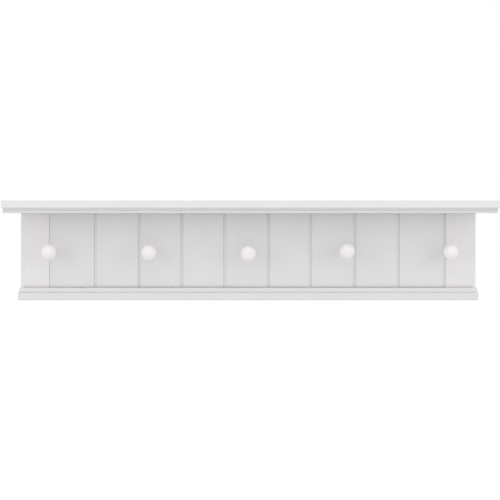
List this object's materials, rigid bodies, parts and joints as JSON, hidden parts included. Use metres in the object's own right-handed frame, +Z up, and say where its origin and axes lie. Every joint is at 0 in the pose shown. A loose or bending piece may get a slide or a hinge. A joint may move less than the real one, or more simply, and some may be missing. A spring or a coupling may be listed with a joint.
{
  "type": "wall hook rack",
  "caption": "White painted wall rack with a moulded shelf, a tongue-and-groove board panel, a moulded base and turned wooden pegs, hung on hidden keyhole plates.",
  "frame": {"origin": "on the wall plane, midway between the two keyholes and level with the tops of their slots, where the wall screws sit when the rack hangs", "axes": "+X to the viewer's right along the rack, +Y into the wall, +Z up"},
  "size_m": [1.2, 0.117, 0.2435],
  "materials": {
    "white_paint": "satin white paint",
    "bare_pine": "planed, unfinished pine",
    "zinc_steel": "bright zinc plated"
  },
  "bodies": {
    "root": {"shelf_board": "white_paint", "shelf_moulding": "white_paint", "cornice_rail": "white_paint", "panel_board_01": "white_paint", "panel_board_02": "white_paint", "panel_board_03": "white_paint", "panel_board_04": "white_paint", "panel_board_05": "white_paint", "panel_board_06": "white_paint", "panel_board_07": "white_paint", "panel_board_08": "white_paint", "panel_board_09": "white_paint", "panel_board_10": "white_paint", "panel_board_11": "white_paint", "left_end_cap": "white_paint", "right_end_cap": "white_paint", "top_batten": "bare_pine", "peg_batten": "bare_pine", "bottom_batten": "bare_pine", "base_bead": "white_paint", "base_board": "white_paint", "peg_01": "white_paint", "peg_02": "white_paint", "peg_03": "white_paint", "peg_04": "white_paint", "peg_05": "white_paint", "left_hanger_plate": "zinc_steel", "right_hanger_plate": "zinc_steel", "board_screws": "zinc_steel", "shelf_screws": "zinc_steel", "base_screws": "zinc_steel", "hanger_screws": "zinc_steel", "left_cap_pins": "zinc_steel", "right_cap_pins": "zinc_steel", "moulding_pins": "zinc_steel"}
  },
  "joints": []
}
